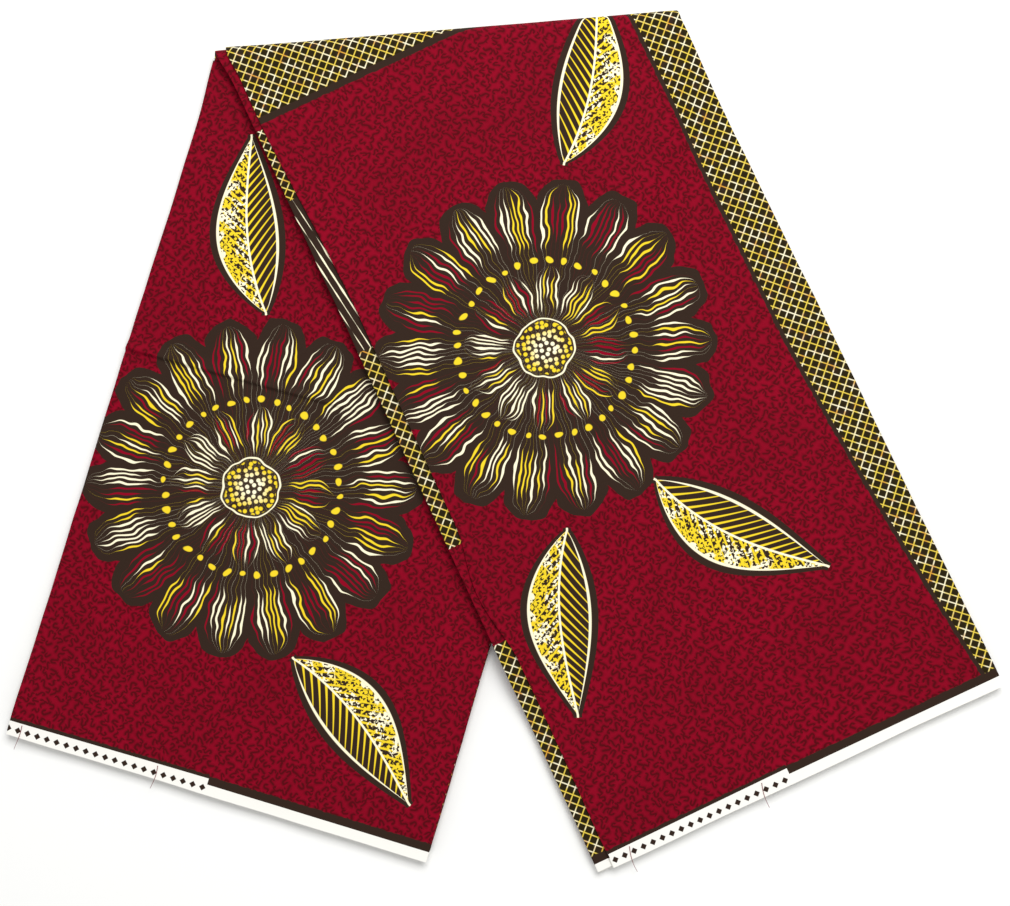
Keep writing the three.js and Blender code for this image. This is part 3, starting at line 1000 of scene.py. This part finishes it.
def inner_relief(u, along):
    """Swelling of the innermost layer, on the part of the back leg that shows."""
    shown = 1 - falling(beside_front_leg(u, along) / COVER_FADES)
    if along > 0 or shown == 0:
        return 0.0
    off = along - crease_at - CREASE_SLANT * (u / STRIP_WIDTH - 0.3)
    ridge = CREASE_HEIGHT * math.exp(-(off / (CREASE_LONG_SIDE if off > 0 else CREASE_STEEP_SIDE)) ** 2)
    rise = swell(u, along, 8.0) + ridge * falling((u - CREASE_FADES[0]) / CREASE_FADES[1])
    rise += sum(high * near_line(u, along, a, b, wide) for a, b, wide, high in BACK_CREASES)
    return -rise * shown


print("crease from the back hem, metres:", CREASE_FROM_HEM)

# %% [markdown]
# ## The outermost layer
# It is the face of the front leg, and past the cross fold the underside of the whole stack. Its left
# fold lies about 12 mm inside the strip's edge, where the cloth was folded back a little short. Two
# threads have come loose at each hem, cross the bare selvedge and hang over its edge. A thread is a
# thin tube, which is a grid rolled up, and the whole of it reads one spot of the red ground.

# %% Loose threads
THREAD_RADIUS = 0.00026
THREAD_BOW = 0.0011
THREAD_TAPER = 0.4
THREAD_SIDES = 5
THREAD_STEPS = 12
THREAD_HANGS = 0.020
RED_SPOT = (0.231, 0.521)
FRONT_THREADS = [((0.1334, 0.593), (0.1312, 0.6118)), ((0.0290, 0.594), (0.0264, 0.6135))]
BACK_THREADS = [((0.0106, -0.576), (0.0086, -0.5948)), ((0.1138, -0.575), (0.1126, -0.5926))]


def loose_thread(bm, foot, tip, above, relief):
    """Adds a thread to a layer's bmesh. It lies on the face of the strip, above is 1 on the outermost
    layer and -1 on the innermost, and it bows to one side. Past the hem it hangs over the edge."""
    size = {"x_segments": THREAD_SIDES, "y_segments": THREAD_STEPS, "size": 1.0}
    made = bmesh.ops.create_grid(bm, **size)["verts"]
    side = (Vector(tip) - Vector(foot)).orthogonal().normalized()
    cloth_map = bm.loops.layers.uv["cloth"]
    for vert in made:
        turn = math.pi * round(vert.co.x * THREAD_SIDES) / THREAD_SIDES
        share = (vert.co.y + 1) / 2
        radius = THREAD_RADIUS * (1 - THREAD_TAPER * share)
        bow = THREAD_BOW * math.sin(math.pi * share) + radius * math.cos(turn)
        spot = Vector(foot).lerp(Vector(tip), share) + side * bow
        over = max(0.0, spot.y - FRONT_REACH, -spot.y - BACK_REACH)
        out = pressed(spot.x, spot.y, above * LEG_THICKNESS / 2) + relief(spot.x, spot.y)
        out -= above * over * over / THREAD_HANGS
        vert.co = place(spot.x, spot.y, out + above * (THREAD_RADIUS + radius * math.sin(turn)))
    for face in {face for vert in made for face in vert.link_faces}:
        face.smooth = True
        for loop in face.loops:
            loop[cloth_map].uv = RED_SPOT
    bmesh.ops.remove_doubles(bm, verts=made, dist=MERGE)


print("loose threads:", len(FRONT_THREADS) + len(BACK_THREADS))

# %% Outermost layer
LAYER_WALL = 0.00085
LAYER_STEP = 0.001
LEFT_FOLD_SETTLES = 0.16
LEFT_AT_FOLD = 0.0055
LEFT_FAR_OUT = 0.0063
MEETING = 0.386
MEETING_REACH = 0.055
LEFT_AT_MEETING = -0.0068
FACE_SHARES = shares_across(20, 60)
HIDDEN_SHARES = shares_across(3, 33)


def face_left(along):
    """Inset of the face's left fold: it runs in past the cross fold, and out where the legs part."""
    far = 1 - falling(abs(along) / LEFT_FOLD_SETTLES)
    meeting = falling(abs(along - MEETING) / MEETING_REACH)
    return LEFT_AT_FOLD + LEFT_FAR_OUT * far + LEFT_AT_MEETING * meeting


def to_the_edge(along):
    """No inset: the fold lies on the strip's own edge."""
    return 0.0


def new_layers():
    """An empty bmesh with the UV map that the print reads."""
    bm = bmesh.new()
    bm.loops.layers.uv.new("cloth")
    return bm


bm = new_layers()
fold_layer(bm, 0.0, LAYER_WALL, face_left, 0.0, (0.002, 0.0), FACE_SHARES, 1, face_relief)
for foot, tip in FRONT_THREADS:
    loose_thread(bm, foot, tip, 1, face_relief)
outer_layer = finish_layers(bm, "outer_layer", face_cotton, "front_top_layer", "back_under_layer")

# %% [markdown]
# ## The layer under it
# Its left fold reaches the strip's edge and shows as a sliver beside the face's fold.

# %% Second layer
bm = new_layers()
fold_layer(bm, LAYER_STEP, LAYER_WALL, to_the_edge, 0.0012, (0.003, 0.0016), FACE_SHARES, 2)
second_layer = finish_layers(bm, "second_layer", fold_cotton, "front_second_layer")

# %% [markdown]
# ## The folds inside the stack
# Only their edges show, as fine ridges down both sides of each leg and as a stack of selvedges at the
# hems. Each wanders by its own fraction of a millimetre, which is what makes a pile of folds look
# like cloth and not like a board.

# %% Inside folds
# Each fold: its inset left and right, what it lacks at the hems, how far its print is slid, and turned
INSIDE_FOLDS = [
    (0.0006, 0.0012, (0.0010, 0.0024), 0.12, False),
    (0.0018, 0.0003, (0.0024, 0.0006), -0.08, True),
    (0.0003, 0.0016, (0.0004, 0.0030), -0.14, False),
    (0.0013, 0.0005, (0.0030, 0.0014), 0.10, True),
    (0.0007, 0.0013, (0.0016, 0.0004), 0.05, False),
]


def other_print(slid, turned, along):
    """Where an inside fold reads the print: slid along the strip or end for end, its hems kept."""
    start = FRONT_PRINTED - BACK_PRINTED - along if turned else along
    return start + slid * falling(abs(along) / BACK_PRINTED)


bm = new_layers()
for number, (left, right, short, slid, turned) in enumerate(INSIDE_FOLDS):
    depth = 2 * LAYER_STEP + LAYER_STEP * number
    inset = (lambda along: left, right)
    reads = functools.partial(other_print, slid, turned)
    fold_layer(bm, depth, LAYER_WALL, *inset, short, HIDDEN_SHARES, number + 3, reads=reads)
inside_layers = finish_layers(bm, "inside_layers", fold_cotton, "front_hidden_layers", "back_hidden_layers")

# %% [markdown]
# ## The innermost layer
# It is the face of the back leg, with the old crease across it, and the underside of the front leg.

# %% Innermost layer
bm = new_layers()
inner_depth = LEG_THICKNESS - LAYER_WALL
inner_short = (0.0, 0.0024)
fold_layer(bm, inner_depth, LAYER_WALL, to_the_edge, 0.0004, inner_short, FACE_SHARES, 9, inner_relief)
for foot, tip in BACK_THREADS:
    loose_thread(bm, foot, tip, -1, inner_relief)
inner_layer = finish_layers(bm, "inner_layer", inner_cotton, "front_under_layer", "back_top_layer")

# %% [markdown]
# ## What the pieces are, and what they lie on
# Every piece is a sheet of cloth, and the folds inside are one stretch of it. The floor gets the
# finish of paper.

# %% Floor finish
paper = bpy.data.materials.new("matt white paper")
paper.use_nodes = True
paper_tree = paper.node_tree
surface = paper_tree.nodes["Principled BSDF"]
place_on_floor = add(paper_tree, "TexCoord", [], "Object")
grain = add(paper_tree, "TexNoise", {"Vector": place_on_floor, "Scale": 900.0, "Detail": 2.0}, "Fac")
grain = add(paper_tree, "Bump", {"Height": grain, "Strength": 0.05, "Distance": 0.0002}, "Normal")
paper_tree.links.new(grain, surface.inputs["Normal"])
surface.inputs["Base Color"].default_value = linear("#f4f4f2")
surface.inputs["Roughness"].default_value = 0.9
floor_mesh.materials.append(paper)
print("floor:", paper.name)
